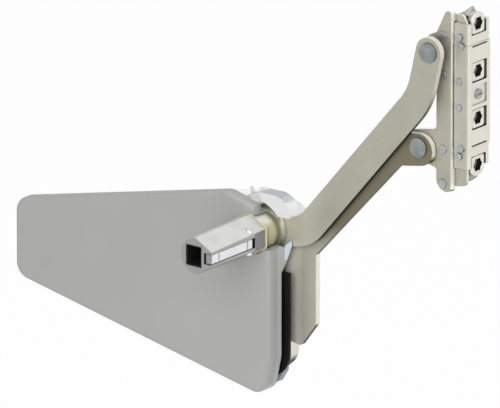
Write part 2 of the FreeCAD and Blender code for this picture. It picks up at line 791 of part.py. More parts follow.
def tension_screw():
    middle = size("pack_rise")
    end = anchor_run + size("anchor_length")
    shank = spring_rod("ScrewShank", "adjuster_radius - running_play", anchor_run - 14, "anchor_length + 14", middle)
    head = spring_rod("ScrewHead", "adjuster_radius + 2.5", end + 0.2, "5", middle)
    neck = spring_rod("ScrewNeck", "adjuster_radius - 1", end - 1, "3", middle)
    hexagon = doc.addObject("Part::Prism", "ScrewHex")
    hexagon.Polygon = 6
    hexagon.Circumradius = 2.9
    hexagon.Height = 3.5
    x, z = along(end + 2.2, middle)
    way = Vector(-math.cos(tilt), 0, -math.sin(tilt))
    hexagon.Placement = Placement(Vector(x, -size(AT_WELL + " + spring_well / 2"), z), Rotation(Vector(0, 0, 1), way))
    keep(cut("TensionScrew", fuse("ScrewBlank", [shank, neck, head]), hexagon), "tension_screw")


# Cross bar coupling on the lift shaft


def coupling_section(depth, radius, side, high, low):
    """Section of the coupling: round at the back, two facets and a flat flank to the flap side."""
    y = -depth
    top, left, base = Vector(0, y, radius), Vector(-radius, y, 0), Vector(0, y, -radius)
    over, under = Vector(side, y, high), Vector(side, y, -low)
    edges = [Part.Arc(top, left, base).toShape()]
    for first, last in ((base, under), (under, over), (over, top)):
        edges.append(Part.LineSegment(first, last).toShape())
    return Part.Wire(edges)


def socket_corners(wall):
    """Section of the bar socket, made smaller all round by a wall."""
    width = size("socket_width / 2") - wall
    height = size("socket_height / 2") - wall
    shift = size("socket_shift")
    return oblong(-shift - width, -shift + width, -height, height, 1 if wall == 0 else 0.6)


def stud(name, low, high):
    """Upright cylinder that crosses the rear end of the latch slot."""
    item = doc.addObject("Part::Cylinder", name)
    item.Radius = 2.1
    item.Height = high - low
    depth = size("collar_end + tube_length - latch_length - 0.5")
    item.Placement = Placement(Vector(size("latch_face") - 3.4, -depth, low), Rotation())
    return item


def coupling():
    """Tapered tube with a flat-sided socket in its end and a slot for the latch."""
    end = "collar_end + tube_length"
    side = size("latch_face")
    rear = coupling_section(size("collar_end"), size("tube_rear"), side, 6.6, 5.8)
    front = coupling_section(size(end), size("tube_front"), side, 5.2, 4.6)
    blank = doc.addObject("Part::Feature", "CouplingBlank")
    blank.Shape = Part.makeLoft([rear, front], True, True)
    half = size("latch_height / 2 + latch_play")
    socket = padded("BarSocket", end + " - socket_depth", "socket_depth + 1", [rounded(socket_corners(0))])
    deep = side - size("latch_depth + latch_play")
    room = oblong(deep, side + 2, -half, half, 0)
    slot = padded("LatchSlot", end + " - slot_length", "slot_length + 2", [rounded(room)])
    body = cut("CouplingSlot", cut("CouplingSocket", blank, socket), slot)
    keep(cut("Coupling", body, stud("StudHole", -12, 12)), "bar_coupling")
    liner = padded("SocketLiner", end + " - socket_depth", "socket_depth - 0.4", [rounded(socket_corners(0))])
    inside = rounded(socket_corners(size("liner_wall")))
    add_pocket(liner, "LinerHole", end + " - socket_depth + 2", "socket_depth", [inside], ahead=True)
    keep(liner, "socket_liner")


def latch_studs():
    """Round heads above and below the latch slot that carry its stop."""
    items = []
    for index, (low, high) in enumerate(((3.9, 8.5), (-8.2, -4.4))):
        items.append(stud(f"LatchStud{index}", low, high))
    return keep(group("LatchStuds", items), "latch_studs")


def latch():
    side = size("latch_face")
    half = size("latch_height / 2")
    end = "collar_end + tube_length"
    inner = side - size("latch_depth")
    outline = [(inner, -half, 0.4), (inner, half, 0.4), (side, half, 0.8), (side, -half, 0.8)]
    body = padded("Latch", end + " - latch_length", "latch_length - 0.4", [rounded(outline)])
    notch = oblong(side - 0.5, side + 1, -half - 1, half + 1, 0)
    for index, back in enumerate((8.5, 38.5)):
        add_pocket(body, f"Grip{index}", end + f" - {back}", "1.2", [rounded(notch)], ahead=True)
    return keep(body, "bar_latch")


# Flap bracket

bracket_at = "bracket_back"
window_heights = [size("rail_middle") + (step - 1.5) * size("hole_pitch") for step in range(4)]
link_front = "bracket_back + link_sheet"
link_middle = size("rail_middle") - 4.3
rail_low = size("rail_middle - rail_length / 2")


def bracket_spot(back, up):
    """A point of the bracket in the side view, behind the rail's face and above its middle."""
    return (size("rail_face") - back, size("rail_middle") + up)


def link_plate():
    """Side plate with ears for both lever pins."""
    low = link_middle - size("link_length / 2")
    high = link_middle + size("link_length / 2")
    right = size("rail_face - rail_flange - 0.3")
    left = right - 11.7
    corners = [
        (right, low, 3),
        (left, low, 8),
        (left, tie_pin[1] - 13, 2),
        (tie_pin[0] + 3, tie_pin[1] - 11, 4),
        (tie_pin[0] - 11, tie_pin[1] - 9, 8),
        (tie_pin[0] - 12, tie_pin[1] + 9, 8),
        (left, tie_pin[1] + 13.5, 3),
        (left, lift_pin[1] - 14, 4),
        (lift_pin[0] - 9, lift_pin[1] - 9, 8),
        (lift_pin[0] - 9, lift_pin[1] + 8, 8),
        (left, lift_pin[1] + 11.5, 2),
        (right - 4, high, 3),
        (right, high, 1.5),
    ]
    body = padded("LinkPlate", bracket_at, "link_sheet", [rounded(corners)])
    holes = [circle(*lift_pin, size("pin_radius")), circle(*tie_pin, size("pin_radius"))]
    holes += [circle(*spot, size("rivet_radius")) for spot in link_rivet_spots]
    add_pocket(body, "LinkHoles", bracket_at, "link_sheet", holes, ahead=True)
    return keep(body, "link_plate")


link_rivet_spots = [bracket_spot(18, up) for up in (39.7, 12.9, -37.4, -60.7)]


def bracket_pins():
    for word, spot, away, play in (("lift", lift_pin, AT_UPPER, 0), ("tie", tie_pin, AT_LOWER, 0)):
        shank = rod(word + "Shank", "pin_radius", bracket_at, f"{away} + lever_sheet - ({bracket_at})", spot)
        head = rod(word + "Head", "pin_head", f"{away} + lever_sheet + 0.3", "pin_head_depth", spot)
        neck = rod(word + "Neck", "pin_radius", f"{away} + lever_sheet - 0.1", "0.5", spot)
        keep(fuse(word + "Pin", [shank, neck, head]), word + "_pin")
    gap = f"{AT_UPPER} - ({link_front}) - 0.3"
    keep(rod("LiftSleeve", "pin_radius + 2", link_front, gap, lift_pin, "pin_radius"), "lift_sleeve")


def carrier():
    """Inner channel behind the rail, with round ends that hold the outer plugs."""
    inner = size("bracket_back")
    sheet_t = size("carrier_sheet")
    face = size("rail_face - rail_sheet")
    plug_row = size("plug_row")
    low = link_middle - size("link_length / 2")
    high = link_middle + size("link_length / 2")
    step = size("rail_face - rail_flange")
    rear = step - 11.3
    flange = [(step - 0.4, low, 2), (rear, low, 8), (rear, high - 17, 2)]
    flange += [(rear + 8.2, high - 1.5, 1.5), (step - 0.4, high - 1.5, 0.5)]
    body = padded("Carrier", "bracket_back - carrier_sheet", "carrier_sheet", [rounded(flange)])
    inside = [(face, low + 5, 4), (step - 3, low + 3, 3), (step - 3, high - 3, 1)]
    inside += [(face - 3.3, high - 2.4, 3), (face, high - 9, 3)]
    add_pad(body, "CarrierStep", "bracket_back - 2 * carrier_sheet", "carrier_sheet", [rounded(inside)])
    joggle = oblong(step - 2.4, step - 1, low + 10, high - 10, 0)
    add_pad(body, "CarrierJoggle", "bracket_back - 1.5 * carrier_sheet", "carrier_sheet", [rounded(joggle)])
    end = size("rail_middle + hole_pitch * 1.5")
    start = size("rail_middle - hole_pitch * 1.5")
    wide = 7.3
    web = [
        (-plug_row - wide, start - wide, wide * 0.99),
        (-plug_row + wide, start - wide, wide * 0.99),
        (-plug_row + wide, end + wide, wide * 0.99),
        (-plug_row - wide, end + wide, wide * 0.99),
    ]
    add_pad(body, "CarrierWeb", "rail_face - rail_sheet - carrier_sheet", "carrier_sheet", [rounded(web)], "YZ_Plane")
    bend = size("carrier_sheet") - inner
    bridge = [(bend, start + 8, 0), (bend, end - 8, 0), (-plug_row, end - 8, 0), (-plug_row, start + 8, 0)]
    add_pad(body, "CarrierBend", "rail_face - rail_sheet - carrier_sheet", "carrier_sheet", [rounded(bridge)], "YZ_Plane")
    holes = [circle(-plug_row, height, 5.1) for height in window_heights]
    holes.append(circle(-plug_row, size("rail_middle"), 2.0))
    add_pocket(body, "PlugBores", "rail_face - rail_sheet - carrier_sheet", "carrier_sheet", holes, "YZ_Plane", True)
    rivets = [circle(*spot, size("rivet_radius")) for spot in link_rivet_spots + rail_rivet_spots]
    add_pocket(body, "CarrierRivets", "bracket_back - 2 * carrier_sheet", "2 * carrier_sheet", rivets, ahead=True)
    return keep(body, "carrier_channel")


rail_rivet_spots = [bracket_spot(6.6, up) for up in (40, 10.1, -7.8, -40.6)]
rail_rivet_spots += [bracket_spot(4.9, up) for up in (34.3, -35.2)]


def front_rail():
    """Folded channel against the flap, with a raised middle and windows for the plugs."""
    face = size("rail_face")
    thick = size("rail_sheet")
    near = -size("bracket_back")
    far = near + size("rail_depth")
    left = face - size("rail_flange")
    section = [(left, near, 0), (face, near, 1.2), (face, far, 1.2), (left, far, 0), (left, far - thick, 0)]
    section += [(face - thick, far - thick, 0.3), (face - thick, near + thick, 0.3), (left, near + thick, 0)]
    body = padded("FrontRail", "rail_middle - rail_length / 2", "rail_length", [rounded(section)], "XY_Plane")
    swell = size("rail_swell")
    wrap = [(left + 0.5, near - swell, 0), (face + swell, near - swell, 1.2), (face + swell, far, 0.3)]
    wrap += [(face - 0.5, far, 0), (face - 0.5, near + 0.5, 0), (left + 0.5, near + 0.5, 0)]
    add_pad(body, "RailSwell", "rail_middle - 35", "70", [rounded(wrap)], "XY_Plane")
    half = size("window_height / 2")
    side = size("window_width / 2")
    row = -size("plug_row")
    under = "rail_face - rail_sheet - 0.5"
    through = "rail_sheet + rail_swell + 1"
    for index, z in enumerate(window_heights):
        low = z - 20 if index == 0 else z - half
        top = z + 20 if index == 3 else z + half
        window = rounded(oblong(row - side, row + side, low, top, 0.8))
        add_pocket(body, f"Window{index}", under, through, [window], "YZ_Plane", True)
    middle = size("rail_middle")
    seat = rounded(oblong(row - side, row + side, middle - 6.5, middle + 6.5, 1))
    add_pocket(body, "ScrewPanel", "rail_face + rail_swell - screw_recess", "2", [seat], "YZ_Plane", True)
    add_pocket(body, "ScrewSeat", under, through, [circle(row, middle, 2.2)], "YZ_Plane", True)
    for index, z in enumerate((middle - 33.7, middle + 33.8)):
        line = rounded(oblong(row - side, row + side, z - 0.5, z + 0.5, 0))
        add_pocket(body, f"Groove{index}", "rail_face + rail_swell - 1.1", "2", [line], "YZ_Plane", True)
    rivets = [circle(*spot, size("rivet_radius")) for spot in rail_rivet_spots]
    add_pocket(body, "RailRivets", "bracket_back - rail_sheet", "rail_sheet + rail_swell + 1", rivets, ahead=True)
    return keep(body, "front_rail")


def rivet_set(name, spots, away, through, wide, label):
    """Flat-headed rivets of one row, each a solid of its own."""
    items = []
    for index, spot in enumerate(spots):
        core = rod(f"{name}Core{index}", "rivet_radius", away, through, spot)
        head = rod(f"{name}Head{index}", wide, f"{away} + {through}", "0.9", spot)
        items.append(fuse(f"{name}{index}", [core, head]))
    return keep(group(name, items), label)


def plugs():
    """Square-headed flap plugs with a lobed drive, one in each window."""
    items = []
    half = size("plug_size / 2")
    row = -size("plug_row")
    under = "rail_face - rail_sheet - carrier_sheet - 6"
    for index, z in enumerate(window_heights):
        square = rounded(oblong(row - half, row + half, z - half, z + half, 1.5))
        body = padded(f"Plug{index}", "rail_face - rail_sheet", "plug_sheet", [square], "YZ_Plane")
        add_pad(body, f"PlugBarrel{index}", under, "carrier_sheet + 6", [circle(row, z, 5)], "YZ_Plane")
        star = []
        radius = size("socket_star")
        for turn in range(12):
            reach = radius * (1.12 if turn % 2 == 0 else 0.86)
            angle = math.radians(30 * turn)
            star.append((row + reach * math.cos(angle), z + reach * math.sin(angle), 0.3))
        drive = "rail_face - rail_sheet - 6.5"
        add_pocket(body, f"PlugDrive{index}", drive, "plug_sheet + 7.5", [rounded(star)], "YZ_Plane", True)
        items.append(body)
    return keep(group("Plugs", items), "flap_plugs")


def centre_screw():
    """Pan-headed screw that clamps the rail to the channel."""
    row = -size("plug_row")
    z = size("rail_middle")
    under = "rail_face + rail_swell - screw_recess"
    body = padded("CentreScrew", under, "1.1", [circle(row, z, 3.4)], "YZ_Plane")
    add_pad(body, "CentreShank", "rail_face - rail_sheet - carrier_sheet - 3", "6.7", [circle(row, z, 2.0)], "YZ_Plane")
    slot = oblong(row - 2.4, row + 2.4, z - 0.5, z + 0.5, 0)
    add_pocket(body, "CentreSlot", "rail_face + rail_swell - 0.8", "2", [rounded(slot)], "YZ_Plane", True)
    return keep(body, "centre_screw")


def clamp_block():
    """Cast slide inside the channel; its stepped ends show above and below the rail."""
    row = -size("plug_row")
    low = size("rail_middle - hole_pitch * 1.5") - 14
    high = size("rail_middle + hole_pitch * 1.5") + 12
    back = size("rail_face") - 14
    front = size("rail_face - rail_sheet - carrier_sheet")
    side = [(back, low + 4, 2), (back, high - 6, 2), (front - 5, high, 1)]
    side += [(front, high - 9, 1), (front, low + 9, 1), (front - 4, low, 1)]
    body = padded("ClampBlock", "plug_row - 6", "12", [rounded(side)])
    under = "rail_face - rail_sheet - carrier_sheet"
    for index, z in enumerate(window_heights):
        add_pocket(body, f"BarrelRoom{index}", under + " - 6.2", "8", [circle(row, z, 5.1)], "YZ_Plane", True)
    add_pocket(body, "ScrewRoom", under + " - 4", "6", [circle(row, size("rail_middle"), 2.0)], "YZ_Plane", True)
    return keep(body, "clamp_block")


def build():
    base_tray()
    base_foot()
    mid_plate()
    side_plate()
    cover()
    spacers()
    hub_guard()
    bushes()
    lower_pivot_pin()
    upper_lever()
    lower_lever()
    lift_shaft()
    lever_neck()
    lift_cam()
    carriage()
    roller()
    springs()
    anchor()
    tension_screw()
    coupling()
    latch()
    latch_studs()
    hub_clip()
    link_plate()
    bracket_pins()
    carrier()
    front_rail()
    through = "carrier_sheet + link_sheet"
    rivet_set("LinkRivet", link_rivet_spots, "bracket_back - carrier_sheet", through, "rivet_head", "link_rivets")
    deep = "bracket_back - 2 * carrier_sheet"
    through = "carrier_sheet + rail_sheet + rail_swell"
    rivet_set("RailRivet", rail_rivet_spots, deep, through, "rail_rivet_head", "rail_rivets")
    plugs()
    centre_screw()
    clamp_block()


def check_and_write():
    doc.recompute()
    for item in doc.Objects:
        if "Invalid" in item.State or "Error" in item.State:
            raise ValueError(f"{item.Name} failed: {item.State}")
    for item in nodes:
        shape = item.Shape
        if shape.isNull() or not shape.isValid():
            raise ValueError(f"{item.Label} is not a valid shape")
        print(f"{item.Label}: {len(shape.Solids)} solid(s), {shape.Volume:.0f} mm3")
    os.makedirs("parts", exist_ok=True)
    for item in nodes:
        item.Shape.exportStep(f"parts/{item.Label}.step")


build()
check_and_write()
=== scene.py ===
import math

import bmesh
import bpy
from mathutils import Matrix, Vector


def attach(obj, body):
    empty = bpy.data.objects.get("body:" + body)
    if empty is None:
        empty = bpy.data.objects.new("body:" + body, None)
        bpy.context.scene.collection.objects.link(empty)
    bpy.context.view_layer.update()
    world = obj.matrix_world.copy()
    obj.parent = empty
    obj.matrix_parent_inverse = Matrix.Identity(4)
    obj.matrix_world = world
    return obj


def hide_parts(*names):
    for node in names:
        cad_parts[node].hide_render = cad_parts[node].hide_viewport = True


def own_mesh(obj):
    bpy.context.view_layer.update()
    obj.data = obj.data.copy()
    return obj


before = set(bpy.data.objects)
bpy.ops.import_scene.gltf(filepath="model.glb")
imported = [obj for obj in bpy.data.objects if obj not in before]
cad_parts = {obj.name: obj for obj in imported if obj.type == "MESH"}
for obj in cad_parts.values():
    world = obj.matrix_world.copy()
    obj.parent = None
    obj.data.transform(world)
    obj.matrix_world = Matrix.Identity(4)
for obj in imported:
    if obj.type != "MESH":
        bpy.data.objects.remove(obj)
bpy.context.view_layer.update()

mm = 0.001
print("frame loaded")


# Colours and shader nodes


# An sRGB hex code as a linear colour with alpha.
def hexColour(code):
    channels = [int(code[i:i + 2], 16) / 255 for i in (1, 3, 5)]
    linear = [c / 12.92 if c <= 0.04045 else ((c + 0.055) / 1.055) ** 2.4 for c in channels]
    return (*linear, 1.0)


# Adds a shader node with its sockets set or linked and its properties set, and gives one output.
def addNode(tree, kind, output, sockets, **properties):
    node = tree.nodes.new(kind)
    for word, value in properties.items():
        setattr(node, word, value)
    for socket, value in sockets.items():
        if isinstance(value, bpy.types.NodeSocket):
            tree.links.new(value, node.inputs[socket])
        else:
            node.inputs[socket].default_value = value
    return node.outputs[output] if node.outputs else None


# A zone's limit along an axis, in mm: it fades in from start and is complete at full.
def placed(axis, start, full):
    directions = {"x": (1, 0, 0), "y": (0, 1, 0), "z": (0, 0, 1)}
    return ("Object", directions[axis], start * mm, full * mm)


# A zone's limit by how far the surface faces a direction, from -1 to 1.
def facing(direction, start, full):
    return ("Normal", direction, start, full)


# Values that all surfaces share: where their patterns fade in, and how high the patterns stand for their size
surfaceSettings = {
    "patternRange": {"From Min": 0.3, "From Max": 0.7}, "grainRise": 0.5, "lineRise": 0.3,
    "underside": {"From Min": -0.25, "From Max": -0.55}, "sheetEdge": {"From Min": 0.75, "From Max": 0.4},
    "nook": {"From Min": 0.7, "From Max": 0.25}, "nookColour": "#17160f", "coatRough": 0.2,
}


# The patterns of a surface: a slow drift, a grain and, where its look has them, lines drawn out one way.
def makePatterns(tree, look):
    place = addNode(tree, "ShaderNodeTexCoord", "Object", {})
    patterns = {}
    for word in ("drift", "grain", "line"):
        if word + "Size" not in look:
            continue
        vector = place
        if word == "line":
            turn = (0, math.radians(look["lineTurn"]), 0)
            drawn = {"Vector": place, "Rotation": turn, "Scale": look["lineStretch"]}
            vector = addNode(tree, "ShaderNodeMapping", "Vector", drawn)
        size = look[word + "Size"] * mm
        spots = {"Vector": vector, "Scale": 1.0 / size, "Detail": 2.0}
        patterns[word] = addNode(tree, "ShaderNodeTexNoise", "Fac", spots)
    return patterns


# Two shades that drift into each other, darker in the grain and nearer the first shade along the lines.
def patternColour(tree, look, patterns):
    tints = {
        "drift": (1.0, look["light"]),
        "grain": (look.get("grainTint", 0.0), "#000000"),
        "line": (look.get("lineTint", 0.0), look["shade"]),
    }
    colour = hexColour(look["shade"])
    for word, pattern in patterns.items():
        most, tint = tints[word]
        limits = {"Value": pattern, "To Max": most, **surfaceSettings["patternRange"]}
        share = addNode(tree, "ShaderNodeMapRange", "Result", limits)
        colours = {0: share, 6: colour, 7: hexColour(tint)}
        colour = addNode(tree, "ShaderNodeMix", 2, colours, data_type="RGBA")
    return colour


# Softened edges, with the grain and the lines as bumps on them.
def patternNormal(tree, look, patterns):
    normal = addNode(tree, "ShaderNodeBevel", "Normal", {"Radius": look["edge"] * mm}, samples=4)
    for word in ("grain", "line"):
        if word in patterns:
            rise = look[word + "Size"] * mm * surfaceSettings[word + "Rise"]
            depth = look[word + "Depth"]
            bump = {"Height": patterns[word], "Normal": normal, "Strength": depth, "Distance": rise}
            normal = addNode(tree, "ShaderNodeBump", "Normal", bump)
    return normal


# Sheared edges of a sheet whose faces look along Y: lighter, partly burnish and partly painted highlight, and
# painted shade where they look down.
def edgeColour(tree, look, colour):
    normal = addNode(tree, "ShaderNodeTexCoord", "Normal", {})
    upward = addNode(tree, "ShaderNodeSeparateXYZ", "Z", {0: normal})
    sideways = addNode(tree, "ShaderNodeSeparateXYZ", "Y", {0: normal})
    across = addNode(tree, "ShaderNodeMath", 0, {0: sideways}, operation="ABSOLUTE")
    shaded = addNode(tree, "ShaderNodeMapRange", "Result", {"Value": upward, **surfaceSettings["underside"]})
    onEdge = addNode(tree, "ShaderNodeMapRange", "Result", {"Value": across, **surfaceSettings["sheetEdge"]})
    cuts = {0: shaded, 6: hexColour(look["cutBurnishAndHighlight"]), 7: hexColour(look["cutUndersideShade"])}
    cut = addNode(tree, "ShaderNodeMix", 2, cuts, data_type="RGBA")
    return addNode(tree, "ShaderNodeMix", 2, {0: onEdge, 6: colour, 7: cut}, data_type="RGBA")


# Zones with a colour of their own, each laid over the last where all its limits hold.
def zoneColour(tree, look, colour):
    sources = {word: addNode(tree, "ShaderNodeTexCoord", word, {}) for word in ("Object", "Normal")}
    for zone in look["zones"]:
        mask = 1.0
        for source, axis, start, full in zone["where"]:
            vectors = {0: sources[source], 1: axis}
            reach = addNode(tree, "ShaderNodeVectorMath", "Value", vectors, operation="DOT_PRODUCT")
            limits = {"Value": reach, "From Min": start, "From Max": full}
            step = addNode(tree, "ShaderNodeMapRange", "Result", limits)
            mask = addNode(tree, "ShaderNodeMath", 0, {0: step, 1: mask}, operation="MULTIPLY")
        colours = {0: mask, 6: colour, 7: hexColour(zone["colour"])}
        colour = addNode(tree, "ShaderNodeMix", 2, colours, data_type="RGBA")
    return colour


# Joints and inner corners in shade, as far from the next surface as the look's crevice, in mm.
def nookColour(tree, look, colour):
    clear = addNode(tree, "ShaderNodeAmbientOcclusion", "AO", {"Distance": look["crevice"] * mm}, samples=8)
    nook = addNode(tree, "ShaderNodeMapRange", "Result", {"Value": clear, **surfaceSettings["nook"]})
    colours = {0: nook, 6: colour, 7: hexColour(surfaceSettings["nookColour"])}
    return addNode(tree, "ShaderNodeMix", 2, colours, data_type="RGBA")


# A procedural material from one look.
def surface(name, look):
    material = bpy.data.materials.new(name)
    material.use_nodes = True
    tree = material.node_tree
    shader = tree.nodes["Principled BSDF"]
    patterns = makePatterns(tree, look)
    colour = patternColour(tree, look, patterns)
    if "cutBurnishAndHighlight" in look:
        colour = edgeColour(tree, look, colour)
    if look.get("zones"):
        colour = zoneColour(tree, look, colour)
    if "crevice" in look:
        colour = nookColour(tree, look, colour)
    low, high = look["rough"]
    limits = {"Value": patterns["drift"], "To Min": low, "To Max": high, **surfaceSettings["patternRange"]}
    tree.links.new(colour, shader.inputs["Base Color"])
    tree.links.new(addNode(tree, "ShaderNodeMapRange", "Result", limits), shader.inputs["Roughness"])
    tree.links.new(patternNormal(tree, look, patterns), shader.inputs["Normal"])
    shader.inputs["Metallic"].default_value = look["metal"]
    if "shine" in look:
        shader.inputs["Specular IOR Level"].default_value = look["shine"]
    if "coat" in look:
        shader.inputs["Coat Weight"].default_value = look["coat"]
        shader.inputs["Coat Roughness"].default_value = surfaceSettings["coatRough"]
    return material


# Gives CAD nodes a material in every slot.
def dress(material, *names):
    for name in names:
        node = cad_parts[name]
        if not node.material_slots:
            node.data.materials.append(material)
        for slot in node.material_slots:
            slot.material = material


# A new object in the scene.
def addObject(name, data):
    item = bpy.data.objects.new(name, data)
    bpy.context.collection.objects.link(item)
    return item


# A new object from a bmesh, with its faces turned outwards and its materials in order.
def finishPiece(name, mesh, *materials):
    bmesh.ops.recalc_face_normals(mesh, faces=mesh.faces)
    data = bpy.data.meshes.new(name)
    mesh.to_mesh(data)
    mesh.free()
    for material in materials:
        data.materials.append(material)
    return addObject(name, data)


# Surfaces: all their sizes are in mm, and grain below about 0.3 mm is drawn coarser, so that it shows

# injection moulded cover with a fine spark-eroded grain: an even satin grey with soft highlights
coverLook = {
    "shade": "#a6a6a4", "light": "#ababa9", "driftSize": 60, "grainSize": 0.5, "grainDepth": 0.12,
    "rough": (0.46, 0.54), "edge": 0.4, "metal": 0.0,
    # painted shade on the rounded front corner and on the flap-side rim, darker still in a band further back,
    # and a painted highlight on the rest of the rim behind it
    "zones": [
        {"where": [facing((0.71, -0.71, 0), 0.8, 0.9)], "colour": "#9d9d9b"},
        {"where": [facing((1, 0, 0), 0.9, 0.99)], "colour": "#9c9c9a"},
        {"where": [facing((1, 0, 0), 0.9, 0.99), placed("y", -52.0, -48.0)], "colour": "#949492"},
        {"where": [facing((1, 0, 0), 0.9, 0.99), placed("y", -47.3, -47.0)], "colour": "#a7a7a4"},
    ],
}
satinGreyPlastic = surface("satinGreyMouldedAbs", coverLook)

# smoother moulded shroud round the hub: a painted blue-grey reflection on the faces that look up, bright
# where it turns to the flap side
guardLook = {
    "shade": "#d9dada", "light": "#e0e1e0", "driftSize": 30, "grainSize": 0.4, "grainDepth": 0.08,
    "rough": (0.28, 0.36), "edge": 0.4, "metal": 0.0, "coat": 0.3,
    "zones": [{"where": [facing((-0.1, 0, 1), 0.72, 0.88)], "colour": "#a9b0b5"}],
}
silverPlastic = surface("silverMouldedAbs", guardLook)

# small moulded clip: cool, nearly white
clipLook = dict(guardLook, shade="#ccd8e2", light="#d8e2ea", zones=[])
coolPlastic = surface("coolWhiteMouldedAcetal", clipLook)

# steel stamped from sheet, with satin nickel plating: warm grey, faint lines along the rolling direction
nickelLook = {
    "shade": "#aaa899", "light": "#b5b3a6", "driftSize": 25, "rough": (0.36, 0.46), "edge": 0.35,
    "metal": 0.55, "grainSize": 0.8, "grainDepth": 0.10, "grainTint": 0.08,
    "lineSize": 0.5, "lineTurn": 48, "lineStretch": (1, 1, 0.04), "lineDepth": 0.10, "lineTint": 0.35,
    "cutBurnishAndHighlight": "#e2dfd3", "cutUndersideShade": "#1d1c16", "crevice": 2.0,
}

# the main lever: a painted highlight, lighter round the hub on its front face
leverLook = dict(nickelLook, zones=[
    {"where": [placed("x", 44, 8), facing((0, -1, 0), 0.4, 0.8)], "colour": "#e0ded0"},
])
leverNickel = surface("nickelPlatedStampedLever", leverLook)

# the link plate's sheared edges are painted nearly white: partly burnish, partly painted highlight
plateNickel = surface("nickelPlatedStampedPlate", dict(nickelLook, cutBurnishAndHighlight="#fbf9f1", crevice=1.0))

# drawn neck of the main lever: painted olive shade, darker in bands, grey near its foot, with painted
# highlights on its top and rim
neckLook = {
    "shade": "#b9b391", "light": "#c4bea0", "driftSize": 12, "rough": (0.3, 0.4), "edge": 0.5, "metal": 0.5,
    "grainSize": 0.8, "grainDepth": 0.10, "grainTint": 0.08,
    "zones": [
        {"where": [placed("y", -46.0, -43.0)], "colour": "#817b58"},
        {"where": [placed("y", -41.6, -39.4)], "colour": "#9f9d8f"},
        {"where": [placed("y", -51.0, -53.5), facing((1, 0, 0.2), 0.5, 0.85)], "colour": "#a39c73"},
        {"where": [placed("y", -44.0, -49.0), facing((0.15, 0, 1), 0.62, 0.85)], "colour": "#f5f2e6"},
        {"where": [placed("y", -56.7, -56.9), facing((1, 0, 0), 0.2, 0.6)], "colour": "#ece8d9"},
    ],
}
drawnNickel = surface("nickelPlatedDrawnNeck", neckLook)

# the second lever: the same plating painted a little lighter, with a painted shadow along the arm where the
# main lever shades it and painted light on the foot's side next to the cover
secondLook = dict(nickelLook, shade="#b1afa2", light="#bab8ab", metal=0.3, zones=[
    {"where": [placed("x", 24, 12), placed("z", 4, -8)], "colour": "#efede0"},
    {"where": [placed("z", -12, 10), facing((0, -1, 0), 0.5, 0.8)], "colour": "#756e58"},
])
secondNickel = surface("nickelPlatedStampedSecondLever", secondLook)

# inner channel: the same plating, in deep shade behind the rail's windows
channelLook = dict(nickelLook, zones=[
    {"where": [placed("x", 149.4, 149.6), placed("y", -19.9, -19.7)], "colour": "#121210"},
])
channelNickel = surface("nickelPlatedFoldedChannel", channelLook)

# folded rail with the same plating: the sheet edges in its windows (low end, high end, face) are painted
# nearly black as painted shade
railWindows = [(50, 80, 152.1), (80.2, 108, 152.7), (122.5, 150, 152.7), (150.2, 180, 152.1)]
windowZones = []
for low, high, face in railWindows:
    windowZones.append({
        "where": [
            placed("x", face, face - 0.2), placed("x", 150.1, 150.3),
            placed("y", -19.95, -19.7), placed("y", -4.05, -4.3),
            placed("z", low - 0.1, low), placed("z", high + 0.1, high),
        ],
        "colour": "#0e0e0d",
    })
railLook = dict(nickelLook, shade="#b4b2a6", light="#bfbdb2", cutBurnishAndHighlight="#dcd9ce", lineTurn=0)
railLook["zones"] = windowZones
railNickel = surface("nickelPlatedFoldedRail", railLook)

# turned and headed steel pins: bluish, bright, with a crisp edge highlight
pinLook = {
    "shade": "#83898b", "light": "#a0a5a5", "driftSize": 5, "rough": (0.25, 0.38), "edge": 0.5, "metal": 0.8,
    "grainSize": 0.5, "grainDepth": 0.12, "grainTint": 0.15, "crevice": 1.6,
}
brightSteel = surface("brightTurnedSteel", pinLook)

# small riveted heads and the screw: the same steel, tumbled paler
rivetSteel = surface("tumbledSteelRivets", dict(pinLook, shade="#a3a9ab", light="#b9bebe"))

# zinc plated sheet of the tray: warm pale grey with a faint spangle, painted nearly white on top near the hub
# as a painted highlight
zincLook = {
    "shade": "#a2a093", "light": "#afada1", "driftSize": 9, "rough": (0.38, 0.5), "edge": 0.4, "metal": 0.6,
    "grainSize": 0.6, "grainDepth": 0.10, "cutBurnishAndHighlight": "#dedccf", "cutUndersideShade": "#1d1c16", "crevice": 2.0,
    "zones": [{"where": [facing((-0.18, 0, 0.98), 0.9, 0.96), placed("x", -20, -30)], "colour": "#f7f7f6"}],
}
zincSheet = surface("zincPlatedFoldedSteel", zincLook)

# black electro-coated side plate: nearly no reflection in the gap; its top, beside the shroud, is painted
# nearly white as a painted highlight
blackLook = {
    "shade": "#0b0c0d", "light": "#121314", "driftSize": 20, "grainSize": 0.4, "grainDepth": 0.15,
    "rough": (0.5, 0.6), "edge": 0.3, "metal": 0.0, "shine": 0.15,
    "zones": [{"where": [placed("z", 6.0, 7.0)], "colour": "#f4f6f7"}],
}
blackCoat = surface("blackElectroCoatedSteel", blackLook)

# turned shaft collar: painted warm brown shade in the neck
shaftLook = {
    "shade": "#8b8160", "light": "#a59c7e", "driftSize": 8, "grainSize": 0.3, "grainDepth": 0.10,
    "rough": (0.28, 0.38), "edge": 0.5, "metal": 0.85,
    "lineSize": 0.4, "lineTurn": 0, "lineStretch": (0.05, 1, 0.05), "lineDepth": 0.12, "lineTint": 0.3,
}
shadedBrownShaft = surface("turnedSteelPaintedBrownShade", shaftLook)

# hardened and ground parts of the spring pack: darker and duller than the pins
groundLook = dict(pinLook, shade="#6f7275", light="#85888a", rough=(0.3, 0.45))
groundSteel = surface("groundHardenedSteel", groundLook)

# drawn spring wire, oiled: dark, with a soft highlight along each turn
wireLook = dict(pinLook, shade="#3c3d3f", light="#55575a", rough=(0.25, 0.35))
springWire = surface("oiledDrawnSpringSteel", wireLook)
